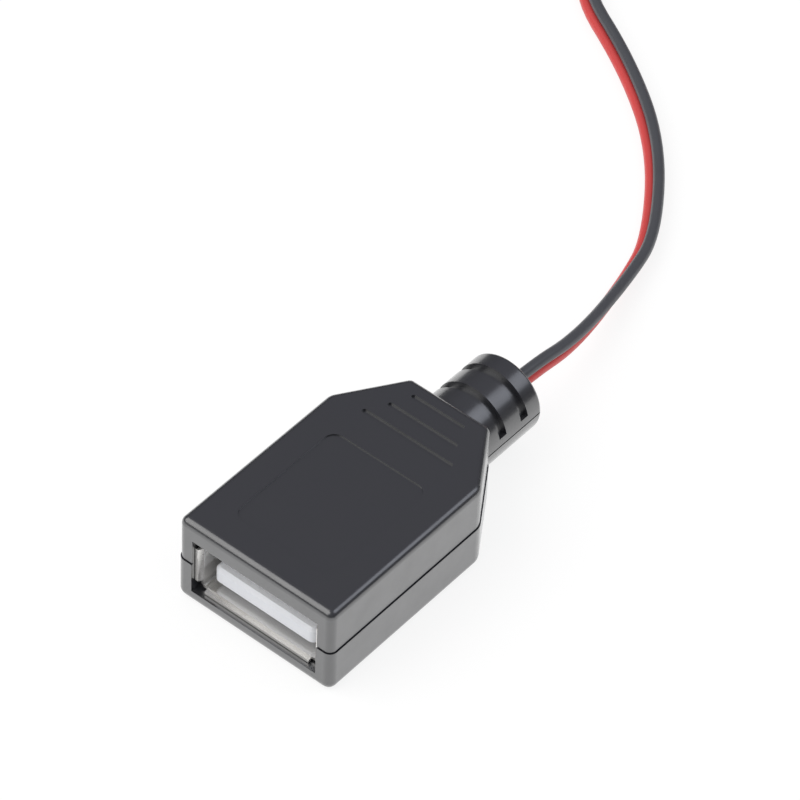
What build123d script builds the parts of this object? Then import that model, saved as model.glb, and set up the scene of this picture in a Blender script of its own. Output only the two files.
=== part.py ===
# Test cable: a type A socket in a snap-together black housing, a thin red and black twin cord,
# and one small crocodile clip on each of its two cores.
# Millimetres. X runs across the housing, Y from the port to the cord, Z up from the table.
# The origin is under the middle of the housing.
from build123d import *
import math
import os

os.makedirs("parts", exist_ok=True)

# Housing
body_width = 17.0
body_height = 9.5
straight_length = 19.4
body_length = 25.6
rear_width = 8.8
neck_radius = 3.9
neck_length = 7.8
split_height = 4.7
wall = 1.6
floor_thickness = 1.65
front_corner = 0.8
side_corner = 1.6
rear_corner = 0.7
top_edge = 0.7
bottom_edge = 0.9
shell_step = 0.1
reveal_height = 0.14
reveal_depth = 0.22

# Marks on the top face
panel_width = 10.5
panel_length = 12.9
panel_corner = 1.1
panel_depth = 0.12
panel_start = 3.3
grip_lengths = (9.9, 7.6, 5.8)
grip_width = 0.5
grip_depth = 0.2
grip_start = 19.7
grip_pitch = 2.02

# Ribs of the neck
groove_width = 0.95
groove_depth = 0.5
groove_starts = (2.1, 5.0)
upper_groove_angle = 13.0
lower_groove_angle = 33.0
neck_edge = 0.35

# Socket shell, folded from sheet
sheet = 0.3
port_width = 12.5
port_height = 5.12
port_corner = 0.35
socket_length = 13.45
lip_recess = 0.45
lip_length = 0.45
top_lip_width = 11.5
side_lip_height = 3.9
side_flare = 0.25
top_flare = 0.12
leaf_width = 1.7
leaf_length = 5.6
leaf_depth = 0.3
leaf_start = 3.4
leaf_spacing = 5.4
leaf_gap = 0.3

# Mouth and inside of the housing
mouth_width = 13.72
mouth_height = 6.1
mouth_margin = 0.15
bay_clearance = 0.05
wire_roof = 2.0
stop_rib = 1.0
stop_width = 1.7
bore_radius = 1.15
pocket_radius = 2.3
pocket_length = 2.0
pocket_starts = (1.0, 4.2)
rim_thickness = 0.6
rim_height = 0.8
rim_clearance = 0.08
rim_start = 2.2
rim_length = 11.2
snap_radius = 0.25
snap_reach = 0.14
snap_length = 4.5
snap_height = 0.42
boss_radius = 1.15
boss_across = 8.8
boss_back = 4.5
pin_radius = 0.6
pin_height = 1.2
pin_clearance = 0.06

# Insulator with its tongue, and the four contacts
tongue_width = 11.1
tongue_thickness = 1.84
tongue_under = 0.665
tongue_recess = 1.35
tongue_corner = 0.6
tongue_lead_in = 0.3
block_length = 4.3
block_clearance = 0.05
contact_places = {"vbus": 3.5, "data_minus": 1.0, "data_plus": -1.0, "ground": -3.5}
contact_width = 1.0
contact_thickness = 0.25
slot_clearance = 0.05
contact_start = 1.1
contact_bump = 0.35
bump_length = 5.0
tail_length = 2.8
solder_radius = 0.62
solder_length = 1.3
solder_edge = 0.25
bare_radius = 0.28
bare_length = 1.2
bare_lift = 0.04

# Twin cord: two cores bonded side by side
core_radius = 0.55
cord_radius = 0.78
cord_sides = 16

# Points of the cord from the housing to its coil, chosen by hand
cord_points = [
    (0.0, 7.2, split_height),
    (0.0, 19.4, split_height),
    (-1.4, 28.9, 0.95),
    (-3.4, 39.9, cord_radius),
    (-8.4, 49.4, cord_radius),
    (-18.6, 59.3, cord_radius),
    (-30.7, 65.4, cord_radius),
    (-34.2, 74.0, cord_radius),
    (-34.1, 84.5, cord_radius),
    (-33.5, 94.8, cord_radius),
]
coil_centre = (-18.9, 98.5)
coil_middle_radius = 12.3
coil_across = 6.6
coil_height = 2.3
coil_edge = 0.8

# Crocodile clips, on their side, with the pivot upright
clip_reach = 14.0
pivot_y = 144.5
clip_height = 3.9
clip_axis_x = {"red": -27.2, "black": -12.2}
clip_side = {"red": -1, "black": 1}
metal = 0.45
nose_half_width = 2.2
ear_clearance = 0.1
jaw_gap = 0.08
tooth_pitch = 1.15
tooth_depth = 0.65
tooth_count = 8
tooth_start = 4.0
pin_hole_clearance = 0.04
rivet_radius = 0.8
rivet_head_radius = 1.25
rivet_head = 0.3
rivet_play = 0.02
barrel_offset = 2.2
barrel_radius = 1.05
barrel_bore = 0.6
barrel_length = 5.3
barrel_end = 19.3
spring_wire = 0.2
spring_radius = 1.22
spring_turns = 3.5
spring_pitch = 0.44
spring_leg = 9.0
spring_points = 12
boot_wall = 0.7
boot_half_width = 3.9
boot_front = 2.6
boot_back = 20.2
boot_collar_radius = 1.55
boot_collar_end = 24.0
boot_edge = 1.7
boot_inner_edge = 0.4

# Points of each lead from the split on the coil, through the collar of its boot, to its barrel
lead_points = {
    "red": [
        (-33.96, 97.5, 1.68),
        (-34.3, 104.4, 1.68),
        (-32.0, 111.0, 0.6),
        (-25.0, 116.7, 3.9),
        (-25.0, 125.4, 3.9),
    ],
    "black": [
        (-32.84, 97.5, 1.68),
        (-33.1, 104.8, 1.68),
        (-29.0, 112.0, 0.6),
        (-14.4, 116.7, 3.9),
        (-14.4, 125.4, 3.9),
    ],
}

# Worked out from the sizes above
total_length = body_length + neck_length
front_y = -total_length / 2
taper_y = front_y + straight_length
rear_y = front_y + body_length
neck_end_y = front_y + total_length
socket_front_y = front_y + lip_recess + lip_length
socket_rear_y = socket_front_y + socket_length
socket_width = port_width + 2 * sheet
socket_height = port_height + 2 * sheet
socket_centre = floor_thickness + socket_height / 2
mouth_depth = lip_recess + lip_length + mouth_margin
bay_width = socket_width + 2 * bay_clearance
bay_top = floor_thickness + socket_height + bay_clearance
wire_top = body_height - wire_roof
tongue_bottom = socket_centre - port_height / 2 + tongue_under
tongue_top = tongue_bottom + tongue_thickness
tip_y = front_y + tongue_recess
slot_depth = contact_thickness + slot_clearance
contact_bottom = tongue_top - slot_depth
contact_top = contact_bottom + contact_thickness
ear_half_width = nose_half_width + ear_clearance + metal


def across(y):
    """The upright plane across the housing at this y, with the sketch's own y pointing up."""
    return Plane.XZ.offset(-y)


def finish(builder, name):
    """Label a finished piece and write it to its file."""
    builder.part.label = name
    export_step(builder.part, f"parts/{name}.step")


# Outline of the housing seen from above
with BuildSketch(Plane.XY) as body_plan:
    with BuildLine():
        Polyline(
            (-body_width / 2, front_y),
            (body_width / 2, front_y),
            (body_width / 2, taper_y),
            (rear_width / 2, rear_y),
            (-rear_width / 2, rear_y),
            (-body_width / 2, taper_y),
            close=True,
        )
    make_face()
    fillet(body_plan.vertices().filter_by_position(Axis.Y, rear_y - 0.01, rear_y + 0.01), rear_corner)
    fillet(body_plan.vertices().filter_by_position(Axis.Y, front_y - 0.01, front_y + 0.01), front_corner)
    fillet(body_plan.vertices().filter_by_position(Axis.Y, taper_y - 0.01, taper_y + 0.01), side_corner)

# The same outline with the neck, drawn in for the fine dark line between the shells
with BuildSketch(Plane.XY) as reveal_plan:
    add(body_plan.sketch)
    offset(amount=-reveal_depth, kind=Kind.INTERSECTION)
    with Locations((0, (rear_y - wall + neck_end_y - reveal_depth) / 2)):
        Rectangle(2 * (neck_radius - reveal_depth), neck_length + wall - reveal_depth)

# Room inside the two shells: mouth, bay for the socket, wire room and neck bore
with BuildPart() as inner_room:
    with BuildSketch(across(front_y)):
        with Locations((0, socket_centre)):
            Rectangle(mouth_width, mouth_height)
    extrude(amount=-mouth_depth)
    with BuildSketch(across(front_y + mouth_depth)):
        with Locations((0, (floor_thickness + bay_top) / 2)):
            Rectangle(bay_width, bay_top - floor_thickness)
    extrude(amount=-(socket_rear_y - front_y - mouth_depth))
    with BuildSketch(Plane.XY.offset(floor_thickness)):
        add(body_plan.sketch)
        offset(amount=-wall, kind=Kind.INTERSECTION)
        with Locations((0, (socket_rear_y + rear_y) / 2)):
            Rectangle(body_width, rear_y - socket_rear_y, mode=Mode.INTERSECT)
    extrude(amount=wire_top - floor_thickness)
    with BuildSketch(across(rear_y - 2 * wall)):
        with Locations((0, split_height)):
            Circle(bore_radius)
    extrude(amount=-(neck_length + 2 * wall))
    for start in pocket_starts:
        with BuildSketch(across(rear_y + start)):
            with Locations((0, split_height)):
                Circle(pocket_radius)
        extrude(amount=-pocket_length)


def neck_groove_cutter(low_angle, upward):
    """The neck's grooves, over the arc that starts and ends low_angle degrees away from the split."""
    reach = 2 * neck_radius
    low = (reach * math.cos(math.radians(low_angle)), upward * reach * math.sin(math.radians(low_angle)))
    high = (reach, upward * 2 * reach)
    high_left = (-high[0], high[1])
    low_left = (-low[0], low[1])
    with BuildPart() as grooves:
        for start in groove_starts:
            with BuildSketch(across(rear_y + start)):
                with Locations((0, split_height)):
                    Circle(neck_radius + 1)
                    Circle(neck_radius - groove_depth, mode=Mode.SUBTRACT)
                    Polygon((0, 0), low, high, high_left, low_left, align=None, mode=Mode.INTERSECT)
            extrude(amount=groove_width, dir=(0, 1, 0))
    return grooves.part


def half_neck(upward):
    """One half of the round neck, above or below the split, with its end edge rounded."""
    with BuildPart() as neck:
        with BuildSketch(across(rear_y - wall / 2)):
            with Locations((0, split_height)):
                Circle(neck_radius)
        extrude(amount=-(neck_length + wall / 2))
        fillet(neck.edges().filter_by(GeomType.CIRCLE).sort_by(Axis.Y)[-1], neck_edge)
        with Locations((0, rear_y + neck_length / 2, split_height + upward * neck_radius)):
            Box(4 * neck_radius, 2 * neck_length, 2 * neck_radius, mode=Mode.INTERSECT)
    return neck.part


def rear_posts(top):
    """The stops behind the socket and the bosses of the pins, from the split to the given height."""
    with BuildPart() as posts:
        with BuildSketch(Plane.XY.offset(split_height)):
            with Locations((boss_across / 2, rear_y - boss_back), (-boss_across / 2, rear_y - boss_back)):
                Circle(boss_radius)
            with Locations(
                (bay_width / 2 - stop_width / 2, socket_rear_y + stop_rib / 2),
                (-bay_width / 2 + stop_width / 2, socket_rear_y + stop_rib / 2),
            ):
                Rectangle(stop_width + 2 * rim_thickness, stop_rib)
        extrude(amount=top - split_height)
    return posts.part


def pins(radius, height):
    """The two pins that line the shells up, or their holes."""
    with BuildPart() as pair:
        with BuildSketch(Plane.XY.offset(split_height)):
            with Locations((boss_across / 2, rear_y - boss_back), (-boss_across / 2, rear_y - boss_back)):
                Circle(radius)
        extrude(amount=height)
    return pair.part


def rim(play):
    """The rim inside the joint with its snap ridges, or the rebate for it, larger by the play."""
    with BuildPart() as lip:
        middle_y = front_y + rim_start + rim_length / 2
        with BuildSketch(Plane.XY.offset(split_height)):
            with Locations((0, middle_y)):
                Rectangle(bay_width + 2 * rim_thickness + 2 * play, rim_length + 2 * play)
                Rectangle(bay_width, rim_length + 2 * play, mode=Mode.SUBTRACT)
        extrude(amount=rim_height + play)
        ridge_x = bay_width / 2 + rim_thickness + snap_reach - snap_radius
        with BuildSketch(across(middle_y)):
            with Locations((ridge_x, split_height + snap_height), (-ridge_x, split_height + snap_height)):
                Circle(snap_radius + play)
        extrude(amount=snap_length / 2 + play, both=True)
    return lip.part


# Upper shell: snaps on, with the marked top face and the upper half of the neck
with BuildPart() as upper_shell:
    with BuildSketch(Plane.XY.offset(split_height)):
        add(body_plan.sketch)
        offset(amount=-shell_step, kind=Kind.INTERSECTION)
    extrude(amount=body_height - split_height)
    fillet(upper_shell.edges().group_by(Axis.Z)[-1], top_edge)
    add(half_neck(1))
    add(neck_groove_cutter(upper_groove_angle, 1), mode=Mode.SUBTRACT)
    with BuildSketch(Plane.XY.offset(split_height)):
        Rectangle(2 * body_width, 2 * total_length)
        add(reveal_plan.sketch, mode=Mode.SUBTRACT)
    extrude(amount=reveal_height, mode=Mode.SUBTRACT)
    with BuildSketch(Plane.XY.offset(body_height)):
        with Locations((0, front_y + panel_start + panel_length / 2)):
            RectangleRounded(panel_width, panel_length, panel_corner)
    extrude(amount=-panel_depth, mode=Mode.SUBTRACT)
    with BuildSketch(Plane.XY.offset(body_height)):
        for number, length in enumerate(grip_lengths):
            with Locations((0, front_y + grip_start + number * grip_pitch)):
                SlotOverall(length, grip_width)
    extrude(amount=-grip_depth, mode=Mode.SUBTRACT)
    add(inner_room.part, mode=Mode.SUBTRACT)
    add(rear_posts(wire_top))
    add(pins(pin_radius + pin_clearance, pin_height + pin_clearance), mode=Mode.SUBTRACT)
    add(rim(rim_clearance), mode=Mode.SUBTRACT)
finish(upper_shell, "upper_shell")

# Lower shell: the tray that the socket lies in, with the rim, snap ridges and pins
with BuildPart() as lower_shell:
    with BuildSketch(Plane.XY):
        add(body_plan.sketch)
    extrude(amount=split_height)
    fillet(lower_shell.edges().group_by(Axis.Z)[0], bottom_edge)
    add(half_neck(-1))
    add(neck_groove_cutter(lower_groove_angle, -1), mode=Mode.SUBTRACT)
    add(inner_room.part, mode=Mode.SUBTRACT)
    add(rear_posts(floor_thickness))
    add(pins(pin_radius, pin_height))
    add(rim(0))
finish(lower_shell, "lower_shell")

# Socket shell: a folded tube with four turned-out lips and four spring leaves in its windows
with BuildPart() as lip_strips:
    lip_end = front_y + lip_recess
    with BuildSketch(Plane.XY.offset(socket_centre)):
        with BuildLine():
            Polyline(
                (socket_width / 2 - sheet, socket_front_y),
                (socket_width / 2, socket_front_y),
                (socket_width / 2 + side_flare, lip_end),
                (socket_width / 2 + side_flare - sheet, lip_end),
                close=True,
            )
        make_face()
        mirror(about=Plane.YZ)
    extrude(amount=side_lip_height / 2, both=True)
    with BuildSketch(Plane.YZ):
        with BuildLine():
            Polyline(
                (socket_front_y, socket_centre + socket_height / 2 - sheet),
                (socket_front_y, socket_centre + socket_height / 2),
                (lip_end, socket_centre + socket_height / 2 + top_flare),
                (lip_end, socket_centre + socket_height / 2 + top_flare - sheet),
                close=True,
            )
        make_face()
        with BuildLine():
            Polyline(
                (socket_front_y, socket_centre - socket_height / 2 + sheet),
                (socket_front_y, socket_centre - socket_height / 2),
                (lip_end, socket_centre - socket_height / 2 - top_flare),
                (lip_end, socket_centre - socket_height / 2 - top_flare + sheet),
                close=True,
            )
        make_face()
    extrude(amount=top_lip_width / 2, both=True)

with BuildPart() as leaf_strips:
    leaf_y = socket_front_y + leaf_start
    inner_top = socket_height / 2 - sheet
    with BuildSketch(Plane.YZ.offset(leaf_spacing / 2)):
        for upward in (1, -1):
            with BuildLine():
                Polyline(
                    (leaf_y - leaf_gap, socket_centre + upward * (inner_top + sheet)),
                    (leaf_y - leaf_gap, socket_centre + upward * inner_top),
                    (leaf_y + 0.7 * leaf_length, socket_centre + upward * (inner_top - leaf_depth)),
                    (leaf_y + leaf_length, socket_centre + upward * inner_top),
                    (leaf_y + leaf_length, socket_centre + upward * (inner_top + sheet)),
                    (leaf_y + 0.7 * leaf_length, socket_centre + upward * (inner_top + sheet - leaf_depth)),
                    close=True,
                )
            make_face()
    extrude(amount=leaf_width / 2, both=True)
    mirror(about=Plane.YZ)

with BuildPart() as socket_shell:
    with BuildSketch(across(socket_front_y)):
        with Locations((0, socket_centre)):
            RectangleRounded(socket_width, socket_height, port_corner + sheet)
            RectangleRounded(port_width, port_height, port_corner, mode=Mode.SUBTRACT)
    extrude(amount=-socket_length)
    with BuildSketch(Plane.XY.offset(socket_centre)):
        with Locations(
            (leaf_spacing / 2, leaf_y + leaf_length / 2 + leaf_gap / 2),
            (-leaf_spacing / 2, leaf_y + leaf_length / 2 + leaf_gap / 2),
        ):
            Rectangle(leaf_width + 2 * leaf_gap, leaf_length + leaf_gap)
    extrude(amount=socket_height, both=True, mode=Mode.SUBTRACT)
    add(leaf_strips.part)
    add(lip_strips.part)
finish(socket_shell, "socket_shell")

# Insulator: a block that plugs the rear of the socket, and the tongue with its four contact slots
with BuildPart() as socket_insulator:
    with BuildSketch(across(socket_rear_y - block_length)):
        with Locations((0, socket_centre)):
            RectangleRounded(port_width - 2 * block_clearance, port_height, port_corner + 0.1)
    extrude(amount=-block_length)
    with BuildSketch(Plane.XY.offset(tongue_bottom)):
        with Locations((0, (tip_y + socket_rear_y - block_length) / 2)):
            Rectangle(tongue_width, socket_rear_y - block_length - tip_y)
    extrude(amount=tongue_thickness)
    fillet(socket_insulator.edges().group_by(Axis.Y)[0].filter_by(Axis.Z), tongue_corner)
    chamfer(socket_insulator.edges().group_by(Axis.Y)[0].filter_by(Axis.X), tongue_lead_in)
    with BuildSketch(Plane.XY.offset(tongue_top - slot_depth)):
        slot_start = tip_y + contact_start - slot_clearance
        for place in contact_places.values():
            with Locations((place, (slot_start + socket_rear_y) / 2)):
                Rectangle(contact_width + 2 * slot_clearance, socket_rear_y - slot_start)
    extrude(amount=slot_depth, mode=Mode.SUBTRACT)
finish(socket_insulator, "socket_insulator")


def contact(place):
    """One contact: a flat strip in its slot, with a raised bump at the front and a tail behind."""
    start = tip_y + contact_start
    end = socket_rear_y + tail_length
    rise = [(0.5, 0), (1.5, contact_bump), (2.5, contact_bump), (bump_length, 0)]
    lower = [(start, contact_bottom)] + [(start + y, contact_bottom + z) for y, z in rise]
    lower.append((end, contact_bottom))
    upper = [(y, z + contact_thickness) for y, z in reversed(lower)]
    with BuildPart() as strip:
        with BuildSketch(Plane.YZ.offset(place)):
            with BuildLine():
                Polyline(*lower, *upper, close=True)
            make_face()
        extrude(amount=contact_width / 2, both=True)
    return strip


for contact_name, contact_place in contact_places.items():
    finish(contact(contact_place), f"contact_{contact_name}")


def solder_joint(place):
    """A drop of solder on a contact's tail, with the room that the bare strands take."""
    middle = socket_rear_y + tail_length - 0.1 - solder_length / 2
    with BuildPart() as drop:
        with BuildSketch(across(middle - solder_length / 2)):
            with Locations((place, contact_top)):
                Circle(solder_radius)
                Rectangle(
                    2 * solder_radius,
                    solder_radius,
                    align=(Align.CENTER, Align.MAX),
                    mode=Mode.SUBTRACT,
                )
        extrude(amount=-solder_length)
        chamfer(drop.edges().filter_by(GeomType.CIRCLE), solder_edge)
        with BuildSketch(across(middle - solder_length)):
            with Locations((place, contact_top + bare_lift + bare_radius)):
                Circle(bare_radius)
        extrude(amount=-2 * solder_length, mode=Mode.SUBTRACT)
    return drop


finish(solder_joint(contact_places["vbus"]), "solder_vbus")
finish(solder_joint(contact_places["ground"]), "solder_ground")


def bend_radii(points):
    """The largest arc that fits at each inner point of a route."""
    radii = []
    for before, here, after in zip(points, points[1:], points[2:]):
        first = Vector(here) - Vector(before)
        second = Vector(after) - Vector(here)
        turn = math.radians(first.get_angle(second))
        radii.append(0.45 * min(first.length, second.length) / math.tan(turn / 2))
    return radii


def tube(points, radius, name):
    """A tube of many sides along a route of straight runs and arcs; prints its length and radii."""
    radii = bend_radii(points)
    with BuildPart() as run:
        with BuildLine() as route:
            FilletPolyline(*points, radius=radii)
        with BuildSketch(Plane(origin=points[0], z_dir=route.line % 0)):
            RegularPolygon(radius, cord_sides)
        sweep()
    length = sum(edge.length for edge in route.edges())
    section = 0.5 * cord_sides * radius * radius * math.sin(2 * math.pi / cord_sides)
    ratio = run.part.volume / (section * length)
    print(name, "length", round(length, 2), "volume ratio", round(ratio, 4))
    print(name, "radii", [round(r, 1) for r in radii])
    return run


def core_tail(side, height, name):
    """One core inside the housing, from the end of the twin cord to its bare end on the contact."""
    place = side * contact_places["vbus"]
    end_y = socket_rear_y + tail_length + 0.05
    end_z = contact_top + bare_lift + bare_radius
    route = [
        (0, cord_points[0][1], height),
        (0, cord_points[0][1] - 2.3, height),
        (0.97 * place, end_y + 1.8, end_z),
        (place, end_y, end_z),
    ]
    with BuildPart() as tail:
        add(tube(route, core_radius, name).part)
        with BuildSketch(across(end_y - bare_length)):
            with Locations((place, end_z)):
                Circle(bare_radius)
        extrude(amount=-bare_length - 0.05)
    return tail


finish(core_tail(1, split_height - core_radius - 0.01, "red_core_tail"), "red_core_tail")
finish(core_tail(-1, split_height + core_radius + 0.01, "black_core_tail"), "black_core_tail")

# Twin cord: two cores side by side, as one tube of the same section, as far as the coil
finish(tube(cord_points, cord_radius, "twin_cord"), "twin_cord")

# The rest of the twin cord, put away as a flat coil
with BuildPart() as cord_coil:
    with BuildSketch(Plane.XY):
        with Locations(coil_centre):
            Circle(coil_middle_radius + coil_across / 2)
            Circle(coil_middle_radius - coil_across / 2, mode=Mode.SUBTRACT)
    extrude(amount=coil_height)
    chamfer(cord_coil.edges(), coil_edge)
finish(cord_coil, "cord_coil")


def clip_plane(color):
    """The middle plane of a clip: x towards its moving side, y to its tip, from its pivot."""
    side = clip_side[color]
    return Plane(origin=(clip_axis_x[color], pivot_y, clip_height), x_dir=(side, 0, 0), z_dir=(0, 0, side))


def barrel_plane(color, u):
    """The upright plane across a clip at u, centred on its crimp barrel, facing its tip."""
    x = clip_axis_x[color] - clip_side[color] * barrel_offset
    return Plane(origin=(x, pivot_y + u, clip_height), x_dir=(1, 0, 0), z_dir=(0, 1, 0))


def prism(plane, outline, half_width):
    """A solid of the outline, of this half width on both sides of the plane."""
    with BuildPart() as solid:
        with BuildSketch(plane):
            with BuildLine():
                Polyline(*outline, close=True)
            make_face()
        extrude(amount=half_width, both=True)
    return solid.part


def teeth(plane, side):
    """The notches between the teeth of one jaw, through its whole width."""
    with BuildPart() as notches:
        with BuildSketch(plane):
            for number in range(tooth_count):
                start = tooth_start + number * tooth_pitch
                edge = side * jaw_gap / 2
                with BuildLine():
                    Polyline(
                        (edge, start),
                        (edge + side * tooth_depth, start + tooth_pitch / 2),
                        (edge, start + tooth_pitch),
                        (-edge, start + tooth_pitch / 2),
                        close=True,
                    )
                make_face()
        extrude(amount=2 * nose_half_width, both=True)
    return notches.part


def fixed_jaw(color):
    """The jaw that is crimped to the lead: a folded channel with ears, teeth and a crimp barrel."""
    plane = clip_plane(color)
    edge = -jaw_gap
    outline = [
        (edge, clip_reach),
        (-1.15, clip_reach),
        (-2.75, 3.5),
        (-2.75, -3.0),
        (-3.3, -13.0),
        (-3.25, -15.0),
        (-2.0, -15.0),
        (-2.4, -10.0),
        (-0.6, -3.6),
        (1.5, -1.6),
        (1.5, 1.6),
        (edge, 2.6),
    ]
    hollow = [
        (4.0, clip_reach - 0.5),
        (-0.68, clip_reach - 0.5),
        (-2.3, 3.5),
        (-2.3, -3.0),
        (-2.85, -13.0),
        (-2.8, -16.0),
        (4.0, -16.0),
    ]
    inner = nose_half_width - metal
    with BuildPart() as jaw:
        add(prism(plane, outline, nose_half_width))
        add(prism(plane, hollow, inner), mode=Mode.SUBTRACT)
        add(teeth(plane, -1), mode=Mode.SUBTRACT)
        with BuildSketch(plane):
            Circle(rivet_radius)
        extrude(amount=2 * nose_half_width, both=True, mode=Mode.SUBTRACT)
        with BuildSketch(barrel_plane(color, -barrel_end)):
            Circle(barrel_radius)
        extrude(amount=barrel_length)
        with BuildSketch(barrel_plane(color, -barrel_end - 1)):
            Circle(barrel_bore)
        extrude(amount=barrel_length + 3, mode=Mode.SUBTRACT)
    return jaw


def moving_jaw(color):
    """The sprung jaw: its ears lap outside the fixed ones, and its rear is the thumb lever."""
    plane = clip_plane(color)
    edge = jaw_gap
    nose = [
        (edge, clip_reach),
        (1.15, clip_reach),
        (2.75, 3.5),
        (2.75, 2.9),
        (edge, 2.9),
    ]
    rear = [
        (edge, 3.35),
        (edge, 2.6),
        (-1.5, 1.6),
        (-1.5, -1.6),
        (1.4, -3.4),
        (3.9, -10.0),
        (5.85, -15.5),
        (6.3, -15.5),
        (2.9, -2.5),
        (2.75, 3.35),
    ]
    wide_hollow = [
        (-4.0, 2.9),
        (2.31, 2.9),
        (2.43, -2.5),
        (5.83, -15.5),
        (6.08, -16.5),
        (-4.0, -16.5),
    ]
    nose_hollow = [
        (-4.0, clip_reach - 0.5),
        (0.68, clip_reach - 0.5),
        (2.3, 3.5),
        (2.31, 2.0),
        (-4.0, 2.0),
    ]
    with BuildPart() as jaw:
        add(prism(plane, rear, ear_half_width))
        add(prism(plane, nose, nose_half_width))
        add(prism(plane, wide_hollow, ear_half_width - metal), mode=Mode.SUBTRACT)
        add(prism(plane, nose_hollow, nose_half_width - metal), mode=Mode.SUBTRACT)
        add(teeth(plane, 1), mode=Mode.SUBTRACT)
        with BuildSketch(plane):
            Circle(rivet_radius + pin_hole_clearance)
        extrude(amount=2 * ear_half_width, both=True, mode=Mode.SUBTRACT)
    return jaw


def pivot_rivet(color):
    """The rivet through both pairs of ears, with a flat head outside each."""
    plane = clip_plane(color)
    with BuildPart() as rivet:
        with BuildSketch(plane):
            Circle(rivet_radius)
        extrude(amount=ear_half_width + rivet_play + rivet_head, both=True)
        for side in (1, -1):
            with BuildSketch(plane.offset(side * (ear_half_width + rivet_play))):
                Circle(rivet_head_radius)
            extrude(amount=side * rivet_head)
    return rivet


def jaw_spring(color):
    """The torsion spring on the rivet, with one leg against the inside of each jaw."""
    plane = clip_plane(color)
    height = spring_turns * spring_pitch
    steps = int(spring_turns * spring_points)
    points = [(-2.41, -spring_leg, -height / 2)]
    for step in range(steps + 1):
        angle = math.pi - 2 * math.pi * step / spring_points
        z = -height / 2 + height * step / steps
        points.append((spring_radius * math.cos(angle), spring_radius * math.sin(angle), z))
    points.append((3.86, -spring_leg, height / 2))
    route_points = [plane.from_local_coords(Vector(*point)) for point in points]
    with BuildPart() as spring:
        with BuildLine() as route:
            Polyline(*route_points)
        with BuildSketch(Plane(origin=route_points[0], z_dir=route.line % 0)):
            RegularPolygon(spring_wire, 6)
        sweep(transition=Transition.RIGHT)
    return spring


def rounded_prism(color, outline, half_width, edge, front):
    """A solid of the outline, seen along the clip's pivot, its edges behind the front y rounded."""
    with BuildPart() as solid:
        add(prism(clip_plane(color), outline, half_width))
        rims = solid.edges().group_by(Axis.Z)
        fillet((rims[0] + rims[-1]).filter_by_position(Axis.Y, 0, front), edge)
    return solid.part


def clip_boot(color):
    """The soft sleeve over the rear of the clip, with its collar on the lead."""
    outer = [
        (-3.7, boot_front),
        (3.7, boot_front),
        (4.3, -2.0),
        (7.7, -14.5),
        (7.2, -17.4),
        (0.2, -boot_back),
        (-4.0, -boot_back),
        (-4.2, -14.0),
    ]
    inner = [
        (-2.96, 4.0),
        (2.81, 4.0),
        (3.61, -2.13),
        (6.97, -14.6),
        (6.57, -16.9),
        (0.06, -boot_back + boot_wall),
        (-3.3, -boot_back + boot_wall),
        (-3.5, -14.0),
    ]
    with BuildPart() as boot:
        add(rounded_prism(color, outer, boot_half_width, boot_edge, pivot_y + boot_front - 0.01))
        inner_half_width = boot_half_width - boot_wall
        hollow = rounded_prism(color, inner, inner_half_width, boot_inner_edge, pivot_y + 3.99)
        add(hollow, mode=Mode.SUBTRACT)
        with BuildSketch(barrel_plane(color, -boot_collar_end)):
            Circle(boot_collar_radius)
        extrude(amount=boot_collar_end - boot_back + boot_wall)
        with BuildSketch(barrel_plane(color, -boot_collar_end)):
            Circle(core_radius)
        extrude(amount=boot_collar_end - boot_back + 2 * boot_wall, mode=Mode.SUBTRACT)
    return boot


for clip_color in ("red", "black"):
    finish(tube(lead_points[clip_color], core_radius, f"{clip_color}_lead"), f"{clip_color}_lead")
    finish(fixed_jaw(clip_color), f"{clip_color}_fixed_jaw")
    finish(moving_jaw(clip_color), f"{clip_color}_moving_jaw")
    finish(pivot_rivet(clip_color), f"{clip_color}_pivot_rivet")
    finish(jaw_spring(clip_color), f"{clip_color}_jaw_spring")
    finish(clip_boot(clip_color), f"{clip_color}_clip_boot")
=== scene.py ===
import math

import bmesh
import bpy
from mathutils import Matrix, Vector


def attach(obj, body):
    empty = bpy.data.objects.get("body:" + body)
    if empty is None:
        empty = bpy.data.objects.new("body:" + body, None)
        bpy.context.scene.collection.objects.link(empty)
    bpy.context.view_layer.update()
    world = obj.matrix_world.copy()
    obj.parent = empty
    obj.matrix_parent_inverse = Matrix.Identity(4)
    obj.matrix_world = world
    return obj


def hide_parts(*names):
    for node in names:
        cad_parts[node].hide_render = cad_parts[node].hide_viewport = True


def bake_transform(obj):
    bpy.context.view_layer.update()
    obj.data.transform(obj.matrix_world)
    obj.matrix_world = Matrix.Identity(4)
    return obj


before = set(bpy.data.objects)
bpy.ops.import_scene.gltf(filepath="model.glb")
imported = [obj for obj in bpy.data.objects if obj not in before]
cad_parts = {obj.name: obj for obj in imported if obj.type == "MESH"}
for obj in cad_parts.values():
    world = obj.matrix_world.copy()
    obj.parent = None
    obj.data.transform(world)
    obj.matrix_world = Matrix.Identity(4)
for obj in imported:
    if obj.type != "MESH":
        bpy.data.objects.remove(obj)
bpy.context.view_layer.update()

# Camera: a long lens on a stand, looking down on the port's corner of the housing.
# Its place and lens were worked out from the housing's own corners.
camera_data = bpy.data.cameras.new("camera")
camera_data.lens = 225.07
camera_data.sensor_width = 36.0
camera_data.clip_start = 0.01
camera = bpy.data.objects.new("camera", camera_data)
camera.matrix_world = Matrix(
    (
        (0.76585, -0.48186, 0.42577, 0.177909),
        (0.64216, 0.53904, -0.54504, -0.225993),
        (0.03313, 0.69083, 0.72226, 0.316889),
        (0.0, 0.0, 0.0, 1.0),
    )
)
bpy.context.scene.collection.objects.link(camera)
bpy.context.scene.camera = camera

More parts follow.
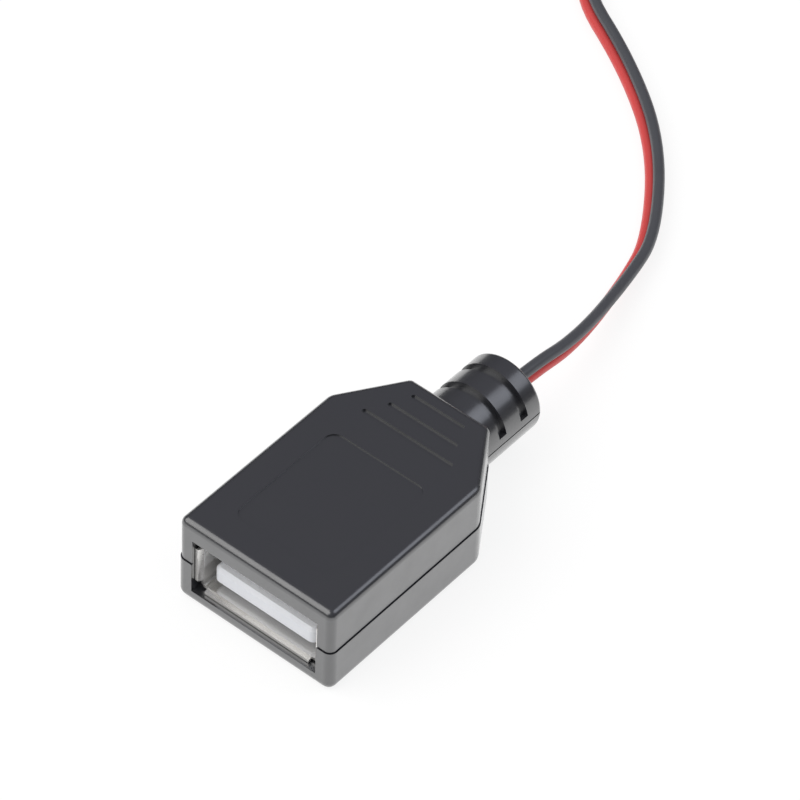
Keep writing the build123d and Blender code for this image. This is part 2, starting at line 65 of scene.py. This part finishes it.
# Twin cord: two thin stranded cores in soft PVC, one red and one black, bonded side by side.
# It leaves the neck standing on edge with black on top, leans over as it reaches the table, and
# its spare length is a neat flat coil of two turns below and two above, past the picture's edge.
core_radius = 0.00055
core_spacing = 0.00112
flat_z = 0.00056

route = [
    (0.0, 0.0095, 0.0047, 90.0),
    (0.0, 0.0194, 0.0047, 90.0),
    (-0.0001, 0.0266, 0.00306, 78.0),
    (-0.0027, 0.0374, 0.00116, 60.0),
    (-0.00445, 0.0433, 0.00098, 49.0),
    (-0.01145, 0.0530, 0.00102, 54.0),
    (-0.0204, 0.0599, 0.00103, 57.0),
    (-0.0310, 0.0656, 0.00104, 58.0),
    (-0.0342, 0.0740, 0.00096, 44.0),
    (-0.0341, 0.0845, 0.00078, 22.0),
    (-0.0335, 0.0948, flat_z, 0.0),
]
route_points = [(x, y, z) for x, y, z, lean in route]
route_tilts = [-lean for x, y, z, lean in route]
coil_centre = (-0.0189, 0.0985)
coil_outer = 0.0145
coil_pitch = 0.0022
coil_turns = 4
turn_points = 12
climb_start = 1.8
climb_turns = 0.4
# The points of a turn stand outside it, as the corners of a polygon round a circle.
corner_factor = math.cos(math.pi / turn_points)
for step in range(1, coil_turns * turn_points + 1):
    turn = step / turn_points
    inward = min(turn, coil_turns - turn)
    reach = (coil_outer - coil_pitch * inward) / corner_factor
    angle = math.pi - 2 * math.pi * turn
    climb = min(max((turn - climb_start) / climb_turns, 0.0), 1.0)
    height = flat_z + core_spacing * climb
    x = coil_centre[0] + reach * math.cos(angle)
    y = coil_centre[1] + reach * math.sin(angle)
    route_points.append((x, y, height))
    route_tilts.append(0.0)
# The last point is where the pair parts into the two leads.
route_points[-1] = (-0.0334, 0.0985, 0.00168)


def laid_route(name, points, tilts):
    """A curve of one smooth spline through the route's points, with the pair's twist at each."""
    curve = bpy.data.curves.new(name, "CURVE")
    curve.dimensions = "3D"
    curve.twist_mode = "Z_UP"
    spline = curve.splines.new("NURBS")
    spline.points.add(len(points) - 1)
    for number, (point, tilt) in enumerate(zip(points, tilts)):
        spline.points[number].co = (*point, 1.0)
        spline.points[number].tilt = math.radians(tilt)
    spline.order_u = 3
    spline.use_endpoint_u = True
    spline.resolution_u = 8
    laid = bpy.data.objects.new(name, curve)
    bpy.context.scene.collection.objects.link(laid)
    return laid


def line_of(laid):
    """The points along a route's own spline, taken before anything is swept along it."""
    bpy.context.view_layer.update()
    evaluated = laid.evaluated_get(bpy.context.evaluated_depsgraph_get())
    plain = bpy.data.meshes.new_from_object(evaluated)
    points = [tuple(vertex.co) for vertex in plain.vertices]
    bpy.data.meshes.remove(plain)
    return points


def worked_material(
    name, color, shade, roughness, grain_scale, grain_height, patch_scale=350.0, metal=0.0
):
    """A procedural finish: two tones in soft patches, a roughness that varies and a fine grain."""
    material = bpy.data.materials.new(name)
    material.use_nodes = True
    nodes = material.node_tree.nodes
    links = material.node_tree.links
    skin = nodes["Principled BSDF"]
    skin.inputs["Metallic"].default_value = metal
    place = nodes.new("ShaderNodeTexCoord")
    patches = nodes.new("ShaderNodeTexNoise")
    patches.inputs["Scale"].default_value = patch_scale
    patches.inputs["Detail"].default_value = 4.0
    tone = nodes.new("ShaderNodeMix")
    tone.data_type = "RGBA"
    tone.inputs[6].default_value = (*color, 1.0)
    tone.inputs[7].default_value = (*shade, 1.0)
    gloss = nodes.new("ShaderNodeMapRange")
    gloss.inputs["From Min"].default_value = 0.3
    gloss.inputs["From Max"].default_value = 0.7
    gloss.inputs["To Min"].default_value = roughness - 0.05
    gloss.inputs["To Max"].default_value = roughness + 0.06
    grain = nodes.new("ShaderNodeTexNoise")
    grain.name = "grain"
    grain.inputs["Scale"].default_value = grain_scale
    grain.inputs["Detail"].default_value = 2.0
    bump = nodes.new("ShaderNodeBump")
    bump.inputs["Strength"].default_value = 0.3
    bump.inputs["Distance"].default_value = grain_height
    links.new(place.outputs["Object"], patches.inputs["Vector"])
    links.new(place.outputs["Object"], grain.inputs["Vector"])
    links.new(patches.outputs["Fac"], tone.inputs[0])
    links.new(patches.outputs["Fac"], gloss.inputs["Value"])
    links.new(tone.outputs[2], skin.inputs["Base Color"])
    links.new(gloss.outputs["Result"], skin.inputs["Roughness"])
    links.new(grain.outputs["Fac"], bump.inputs["Height"])
    links.new(bump.outputs["Normal"], skin.inputs["Normal"])
    return material


red_pvc = worked_material(
    "red_pvc", (0.78, 0.088, 0.085), (0.68, 0.06, 0.06), 0.36, 5200.0, 0.00002
)
black_pvc = worked_material(
    "black_pvc", (0.088, 0.091, 0.103), (0.07, 0.073, 0.084), 0.36, 5200.0, 0.00002
)


def twin_tree():
    """A node tree that lays two round cores along a route, each in its own colour."""
    tree = bpy.data.node_groups.new("twin_cores", "GeometryNodeTree")
    sockets = tree.interface
    sockets.new_socket("Geometry", in_out="INPUT", socket_type="NodeSocketGeometry")
    radius = sockets.new_socket("Core radius", in_out="INPUT", socket_type="NodeSocketFloat")
    spacing = sockets.new_socket("Core spacing", in_out="INPUT", socket_type="NodeSocketFloat")
    sides = sockets.new_socket("Sides", in_out="INPUT", socket_type="NodeSocketInt")
    sockets.new_socket("Geometry", in_out="OUTPUT", socket_type="NodeSocketGeometry")
    radius.default_value = core_radius
    spacing.default_value = core_spacing
    sides.default_value = 20
    nodes = tree.nodes
    links = tree.links
    given = nodes.new("NodeGroupInput")
    result = nodes.new("NodeGroupOutput")
    ring = nodes.new("GeometryNodeCurvePrimitiveCircle")
    links.new(given.outputs["Core radius"], ring.inputs["Radius"])
    links.new(given.outputs["Sides"], ring.inputs["Resolution"])
    join = nodes.new("GeometryNodeJoinGeometry")
    for side, material in ((-0.5, red_pvc), (0.5, black_pvc)):
        shift = nodes.new("ShaderNodeMath")
        shift.operation = "MULTIPLY"
        shift.inputs[1].default_value = side
        across = nodes.new("ShaderNodeCombineXYZ")
        moved = nodes.new("GeometryNodeTransform")
        swept = nodes.new("GeometryNodeCurveToMesh")
        swept.inputs["Fill Caps"].default_value = True
        painted = nodes.new("GeometryNodeSetMaterial")
        painted.inputs["Material"].default_value = material
        links.new(given.outputs["Core spacing"], shift.inputs[0])
        links.new(shift.outputs[0], across.inputs["X"])
        links.new(ring.outputs["Curve"], moved.inputs["Geometry"])
        links.new(across.outputs["Vector"], moved.inputs["Translation"])
        links.new(given.outputs["Geometry"], swept.inputs["Curve"])
        links.new(moved.outputs["Geometry"], swept.inputs["Profile Curve"])
        links.new(swept.outputs["Mesh"], painted.inputs["Geometry"])
        links.new(painted.outputs["Geometry"], join.inputs["Geometry"])
    smooth = nodes.new("GeometryNodeSetShadeSmooth")
    real = nodes.new("GeometryNodeRealizeInstances")
    links.new(join.outputs["Geometry"], smooth.inputs["Geometry"])
    links.new(smooth.outputs["Geometry"], real.inputs["Geometry"])
    links.new(real.outputs["Geometry"], result.inputs["Geometry"])
    return tree


def made_mesh(name, source):
    """The evaluated shape of an object as a plain mesh piece; the source object is removed."""
    bpy.context.view_layer.update()
    evaluated = source.evaluated_get(bpy.context.evaluated_depsgraph_get())
    piece = bpy.data.objects.new(name, bpy.data.meshes.new_from_object(evaluated))
    bpy.context.scene.collection.objects.link(piece)
    bpy.data.objects.remove(source)
    return piece


cord_route = laid_route("cord_route", route_points, route_tilts)
cord_line = line_of(cord_route)
cord_route.modifiers.new("twin_cores", "NODES").node_group = twin_tree()
cord_cores = made_mesh("twin_cord_cores", cord_route)
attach(cord_cores, "cable")
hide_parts("twin_cord", "cord_coil")

# Housing: two black ABS shells that snap together, satin inside and a little glossy outside.
# The mould gives them a very fine spark texture, and handling leaves faint scuffs in its gloss.
shell_black = worked_material(
    "shell_black", (0.021, 0.022, 0.027), (0.015, 0.016, 0.02), 0.36, 9000.0, 0.00001
)
skin = shell_black.node_tree.nodes["Principled BSDF"]
skin.inputs["Specular IOR Level"].default_value = 1.0
skin.inputs["Coat Weight"].default_value = 1.0
skin.inputs["Coat Roughness"].default_value = 0.2
skin.inputs["Coat IOR"].default_value = 1.8


def finish_node(node_name, material):
    """Gives a CAD piece its real material in place of the plain one."""
    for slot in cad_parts[node_name].material_slots:
        slot.material = material


finish_node("upper_shell", shell_black)
finish_node("lower_shell", shell_black)

# Socket: a shell folded from nickel-plated sheet, round a white moulded block with its tongue.
# The sheet keeps the fine lines of its rolling; the block is a matt glass-filled plastic.
plated_sheet = worked_material(
    "plated_sheet", (0.93, 0.92, 0.9), (0.85, 0.835, 0.81), 0.2, 500.0, 0.0000005, 260.0, 0.82
)


def rolled_lines(material, direction):
    """Draws a sheet's grain out along one direction, as rolling or drawing leaves it."""
    nodes = material.node_tree.nodes
    links = material.node_tree.links
    stretch = nodes.new("ShaderNodeMapping")
    stretch.inputs["Scale"].default_value = direction
    place = nodes["Texture Coordinate"]
    links.new(place.outputs["Object"], stretch.inputs["Vector"])
    links.new(stretch.outputs["Vector"], nodes["grain"].inputs["Vector"])


rolled_lines(plated_sheet, (12.0, 0.6, 12.0))
finish_node("socket_shell", plated_sheet)

white_moulding = worked_material(
    "white_moulding", (0.92, 0.94, 0.98), (0.87, 0.89, 0.94), 0.4, 6000.0, 0.00002
)
finish_node("socket_insulator", white_moulding)

# Contacts: four phosphor bronze strips with a thin gold flash, pressed into the block.
gold_flash = worked_material(
    "gold_flash", (0.86, 0.63, 0.3), (0.74, 0.5, 0.22), 0.24, 3000.0, 0.00001, 600.0, 1.0
)
for name in ("contact_vbus", "contact_data_minus", "contact_data_plus", "contact_ground"):
    finish_node(name, gold_flash)

# Solder joints and stripped cores inside the housing: the solder is bright with a dull skin.
solder_tin = worked_material(
    "solder_tin", (0.66, 0.67, 0.69), (0.45, 0.46, 0.48), 0.34, 2500.0, 0.00006, 900.0, 1.0
)
for name in ("solder_vbus", "solder_ground"):
    finish_node(name, solder_tin)
finish_node("red_core_tail", red_pvc)
finish_node("black_core_tail", black_pvc)

# Clips: jaws pressed and folded from steel sheet, nickel plated, with the lines of rolling along
# them; a steel rivet through both pairs of ears, its heads a little duller from the press.
clip_plate = worked_material(
    "clip_plate", (0.66, 0.65, 0.63), (0.5, 0.485, 0.465), 0.27, 700.0, 0.000003, 420.0, 1.0
)
rolled_lines(clip_plate, (6.0, 0.5, 6.0))
rivet_steel = worked_material(
    "rivet_steel", (0.56, 0.56, 0.55), (0.4, 0.4, 0.39), 0.34, 3500.0, 0.00002, 800.0, 1.0
)
for color in ("red", "black"):
    finish_node(f"{color}_fixed_jaw", clip_plate)
    finish_node(f"{color}_moving_jaw", clip_plate)
    finish_node(f"{color}_pivot_rivet", rivet_steel)

# Jaw springs: torsion springs wound from hard steel wire round the rivet, a leg on each jaw.
# They wind up as the jaw opens.
# Each clip has its pivot's x and the side on which its sprung jaw lies.
pivot_y = 0.1445
clip_height = 0.0039
clips = {"red": (-0.0272, -1), "black": (-0.0122, 1)}
spring_wire = 0.00019
spring_radius = 0.00122
spring_turns = 3.5
spring_pitch = 0.00044
spring_steps = 16
spring_steel = worked_material(
    "spring_steel", (0.42, 0.415, 0.41), (0.26, 0.255, 0.25), 0.3, 4000.0, 0.00001, 900.0, 1.0
)


def at_clip(color, h, u, z):
    """A point of a clip, given from its pivot: across towards the sprung jaw, forward and up."""
    axis_x, side = clips[color]
    return (axis_x + side * h, pivot_y + u, clip_height + side * z)


for color in ("red", "black"):
    rise = spring_turns * spring_pitch
    points = [
        at_clip(color, -0.00241, -0.009, -rise / 2),
        at_clip(color, -0.0018, -0.0045, -rise / 2),
    ]
    steps = int(spring_turns * spring_steps)
    for step in range(steps + 1):
        angle = math.pi - 2 * math.pi * step / spring_steps
        h = spring_radius * math.cos(angle)
        u = spring_radius * math.sin(angle)
        points.append(at_clip(color, h, u, -rise / 2 + rise * step / steps))
    points.append(at_clip(color, 0.0025, -0.0045, rise / 2))
    points.append(at_clip(color, 0.00384, -0.009, rise / 2))
    wound = laid_route(f"{color}_wound_wire", points, [0.0] * len(points))
    wound.data.bevel_depth = spring_wire
    wound.data.bevel_resolution = 3
    wound.data.use_fill_caps = True
    wound.data.materials.append(spring_steel)
    wire = made_mesh(f"{color}_spring_wire", wound)
    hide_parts(f"{color}_jaw_spring")
    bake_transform(wire)

# Clip boots: soft PVC sleeves pushed over the rear of each clip, one red and one black, with
# grip ribs across both sides and a ringed collar that holds the lead.
# The tables give each side's edge as (place along the clip, place across it).
boot_half = 0.0039
boot_wall = 0.0007
ring_points = 48
rib_depth = 0.00028
rib_width = 0.0003
cut_depth = 0.00022
cut_width = 0.00014
collar_middle = -0.0022
collar_radius = 0.00152
lead_hole = 0.00057
outer_low = [(0.0026, -0.0037), (-0.014, -0.0042), (-0.0202, -0.004)]
outer_high = [
    (0.0026, 0.0037),
    (-0.002, 0.0043),
    (-0.0145, 0.0077),
    (-0.0174, 0.0072),
    (-0.0202, 0.0002),
]
inner_low = [(0.004, -0.00296), (-0.014, -0.0035), (-0.0195, -0.0033)]
inner_high = [
    (0.004, 0.00281),
    (-0.00213, 0.00361),
    (-0.0146, 0.00697),
    (-0.0169, 0.00657),
    (-0.0195, 0.00006),
]
inner_stations = [-0.0195, -0.019, -0.0184, -0.0176, -0.0169, -0.0158, -0.0146]
inner_stations += [-0.012, -0.009, -0.006, -0.00213, 0.0, 0.0015]
grip_ribs = [-0.0078, -0.0093, -0.0108, -0.0123, -0.0138]
collar_rings = [-0.0214, -0.0222, -0.023]


def along(table, u):
    """The half-section's edge at u, read between the table's points."""
    for (u_a, h_a), (u_b, h_b) in zip(table, table[1:]):
        if u >= u_b:
            return h_a + (h_b - h_a) * min(max((u - u_a) / (u_b - u_a), 0.0), 1.0)
    return table[-1][1]


def softened(table, u, reach=0.0009):
    """The same edge with its corners rounded off."""
    return sum(along(table, u + reach * k / 3) for k in range(-3, 4)) / 7


def boot_ring(color, u, middle, half_h, half_z, squareness):
    """One closed ring of a boot's skin, from a round one to a nearly square one."""
    ring = []
    for number in range(ring_points):
        angle = 2 * math.pi * (number + 0.5) / ring_points
        c, s = math.cos(angle), math.sin(angle)
        h = middle + half_h * math.copysign(abs(c) ** (2 / squareness), c)
        z = half_z * math.copysign(abs(s) ** (2 / squareness), s)
        ring.append(at_clip(color, h, u, z))
    return ring


def boot_rings(color):
    """All rings of a boot, from its mouth back over the outside, and forward again inside."""
    rings = []
    for inset, u in ((0.00045, 0.0026), (0.00018, 0.00252), (0.00004, 0.00235)):
        low, high = along(outer_low, u) + inset, along(outer_high, u) - inset
        middle, half = (low + high) / 2, (high - low) / 2
        rings.append(boot_ring(color, u, middle, half, boot_half - inset, 5.0))
    stations = [0.002, 0.001, 0.0, -0.001, -0.002, -0.003, -0.004, -0.005, -0.006, -0.0066]
    stations += [-0.007 - 0.00015 * k for k in range(51)]
    stations += [-0.0151, -0.0157, -0.0163, -0.0168, -0.0173, -0.0178, -0.0183, -0.0188, -0.0192]
    for u in stations:
        low, high = softened(outer_low, u), softened(outer_high, u)
        groove = sum(rib_depth * math.exp(-(((u - rib) / rib_width) ** 2)) for rib in grip_ribs)
        half = (high - low) / 2 - groove
        rings.append(boot_ring(color, u, (low + high) / 2, half, boot_half - 0.4 * groove, 5.0))
    for inset, u in ((0.00025, -0.0196), (0.0006, -0.0199), (0.0011, -0.0201)):
        low, high = along(outer_low, u) + inset, along(outer_high, u) - 0.5 * inset
        middle, half = (low + high) / 2, (high - low) / 2
        rings.append(boot_ring(color, u, middle, half, boot_half - inset, 4.0))
    rings.append(boot_ring(color, -0.02025, -0.0021, 0.0018, 0.0021, 2.6))
    rings.append(boot_ring(color, -0.0205, collar_middle, 0.0016, 0.00165, 2.0))
    for u in [-0.0208 - 0.0001 * k for k in range(29)]:
        groove = sum(cut_depth * math.exp(-(((u - cut) / cut_width) ** 2)) for cut in collar_rings)
        radius = collar_radius - groove
        rings.append(boot_ring(color, u, collar_middle, radius, radius, 2.0))
    for u, radius in ((-0.0238, 0.00145), (-0.02395, 0.00125), (-0.024, 0.001), (-0.024, 0.0006)):
        rings.append(boot_ring(color, u, collar_middle, radius, radius, 2.0))
    for u in (-0.0234, -0.0222, -0.021, -0.0196):
        rings.append(boot_ring(color, u, collar_middle, lead_hole, lead_hole, 2.0))
    inner_half = boot_half - boot_wall
    for u in inner_stations:
        low, high = along(inner_low, u), along(inner_high, u)
        rings.append(boot_ring(color, u, (low + high) / 2, (high - low) / 2, inner_half, 14.0))
    low, high = along(inner_low, 0.0025), along(inner_high, 0.0025)
    rings.append(boot_ring(color, 0.00245, (low + high) / 2, (high - low) / 2, inner_half, 12.0))
    return rings


boot_finish = {
    "red": worked_material(
        "red_boot_pvc", (0.72, 0.05, 0.045), (0.6, 0.032, 0.03), 0.44, 3800.0, 0.00004
    ),
    "black": worked_material(
        "black_boot_pvc", (0.03, 0.031, 0.035), (0.02, 0.021, 0.024), 0.44, 3800.0, 0.00004
    ),
}
for color in ("red", "black"):
    shape = bmesh.new()
    rings = [[shape.verts.new(point) for point in ring] for ring in boot_rings(color)]
    for ring, following in zip(rings, rings[1:] + rings[:1]):
        for number in range(ring_points):
            after = (number + 1) % ring_points
            shape.faces.new((ring[number], ring[after], following[after], following[number]))
    bmesh.ops.recalc_face_normals(shape, faces=shape.faces)
    for face in shape.faces:
        face.smooth = True
    skin_mesh = bpy.data.meshes.new(f"{color}_boot_skin")
    shape.to_mesh(skin_mesh)
    shape.free()
    skin_mesh.materials.append(boot_finish[color])
    boot = bpy.data.objects.new(f"{color}_boot_skin", skin_mesh)
    bpy.context.scene.collection.objects.link(boot)
    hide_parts(f"{color}_clip_boot")
    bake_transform(boot)

# Leads: past the split each core runs on alone into the collar of its clip's boot.
red_lead_points = [
    (-0.03396, 0.0985, 0.00168),
    (-0.0343, 0.1044, 0.00168),
    (-0.0320, 0.1110, 0.00055),
    (-0.0250, 0.1167, 0.0039),
    (-0.0250, 0.1254, 0.0039),
]
black_lead_points = [
    (-0.03284, 0.0985, 0.00168),
    (-0.0331, 0.1048, 0.00168),
    (-0.0290, 0.1120, 0.00055),
    (-0.0144, 0.1167, 0.0039),
    (-0.0144, 0.1254, 0.0039),
]
for color, points, material, length in (
    ("red", red_lead_points, red_pvc, 0.030),
    ("black", black_lead_points, black_pvc, 0.036),
):
    lead = laid_route(f"{color}_lead_core", points, [0.0] * len(points))
    lead.data.bevel_depth = core_radius
    lead.data.bevel_resolution = 5
    lead.data.use_fill_caps = True
    lead.data.materials.append(material)
    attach(lead, "cable")
    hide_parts(f"{color}_lead")

# Table: a white sweep, lit so that it burns out round the object and keeps only a faint shadow.
# The camera and the object's reflections see it brighter than it lights the object.
table = bpy.data.meshes.new("table")
table.from_pydata([(-2, -2, 0), (2, -2, 0), (2, 2, 0), (-2, 2, 0)], [], [(0, 1, 2, 3)])
table_top = bpy.data.objects.new("table_top", table)
bpy.context.scene.collection.objects.link(table_top)
white_table = bpy.data.materials.new("white_table")
white_table.use_nodes = True
nodes = white_table.node_tree.nodes
links = white_table.node_tree.links
skin = nodes["Principled BSDF"]
skin.inputs["Base Color"].default_value = (0.86, 0.86, 0.86, 1.0)
skin.inputs["Roughness"].default_value = 0.9
skin.inputs["Specular IOR Level"].default_value = 0.1
paper = nodes.new("ShaderNodeBsdfDiffuse")
paper.inputs["Color"].default_value = (0.22, 0.22, 0.22, 1.0)
glow = nodes.new("ShaderNodeEmission")
glow.inputs["Strength"].default_value = 0.83
bright = nodes.new("ShaderNodeAddShader")
ray = nodes.new("ShaderNodeLightPath")
seen = nodes.new("ShaderNodeMath")
seen.operation = "ADD"
mirrored = nodes.new("ShaderNodeMath")
mirrored.operation = "ADD"
mirrored.use_clamp = True
mixed = nodes.new("ShaderNodeMixShader")
links.new(ray.outputs["Is Camera Ray"], seen.inputs[0])
links.new(ray.outputs["Is Glossy Ray"], seen.inputs[1])
links.new(seen.outputs[0], mirrored.inputs[0])
links.new(ray.outputs["Is Transmission Ray"], mirrored.inputs[1])
links.new(paper.outputs["BSDF"], bright.inputs[0])
links.new(glow.outputs["Emission"], bright.inputs[1])
links.new(mirrored.outputs[0], mixed.inputs["Fac"])
links.new(skin.outputs["BSDF"], mixed.inputs[1])
links.new(bright.outputs["Shader"], mixed.inputs[2])
links.new(mixed.outputs["Shader"], nodes["Material Output"].inputs["Surface"])
table.materials.append(white_table)

# Light: a white tent that lights evenly, whose mirror image darkens towards the horizon, a large
# soft panel at the front left and a smaller bluish one at the rear right.
world = bpy.data.worlds.new("tent")
world.use_nodes = True
nodes = world.node_tree.nodes
links = world.node_tree.links
tent = nodes["Background"]
tent.inputs["Color"].default_value = (1.0, 1.0, 1.0, 1.0)
tent.inputs["Strength"].default_value = 0.58
reflected = nodes.new("ShaderNodeBackground")
way = nodes.new("ShaderNodeTexCoord")
parts = nodes.new("ShaderNodeSeparateXYZ")
dome = nodes.new("ShaderNodeValToRGB")
dome.color_ramp.elements[0].position = 0.0
dome.color_ramp.elements[0].color = (0.05, 0.05, 0.055, 1.0)
dome.color_ramp.elements[1].position = 0.75
dome.color_ramp.elements[1].color = (0.2, 0.2, 0.23, 1.0)
low_band = dome.color_ramp.elements.new(0.3)
low_band.color = (0.08, 0.08, 0.09, 1.0)
ray = nodes.new("ShaderNodeLightPath")
mixed = nodes.new("ShaderNodeMixShader")
links.new(way.outputs["Generated"], parts.inputs["Vector"])
links.new(parts.outputs["Z"], dome.inputs["Fac"])
links.new(dome.outputs["Color"], reflected.inputs["Color"])
links.new(ray.outputs["Is Glossy Ray"], mixed.inputs["Fac"])
links.new(tent.outputs["Background"], mixed.inputs[1])
links.new(reflected.outputs["Background"], mixed.inputs[2])
links.new(mixed.outputs["Shader"], nodes["World Output"].inputs["Surface"])
bpy.context.scene.world = world


def soft_panel(name, place, aim, width, height, watts, color):
    """A large soft light panel that faces a point."""
    light = bpy.data.lights.new(name, "AREA")
    light.shape = "RECTANGLE"
    light.size = width
    light.size_y = height
    light.energy = watts
    light.color = color
    panel = bpy.data.objects.new(name, light)
    panel.location = place
    panel.rotation_euler = (Vector(aim) - Vector(place)).to_track_quat("-Z", "Y").to_euler()
    bpy.context.scene.collection.objects.link(panel)


housing_middle = (0.0, 0.02, 0.0)
soft_panel("panel_front", (-0.365, -0.42, 0.62), housing_middle, 0.8, 0.8, 3.3, (1.0, 0.99, 0.97))
soft_panel("panel_rear", (0.36, 0.44, 0.56), housing_middle, 0.4, 0.4, 0.6, (0.86, 0.9, 1.0))

bpy.context.scene.view_settings.view_transform = "Standard"
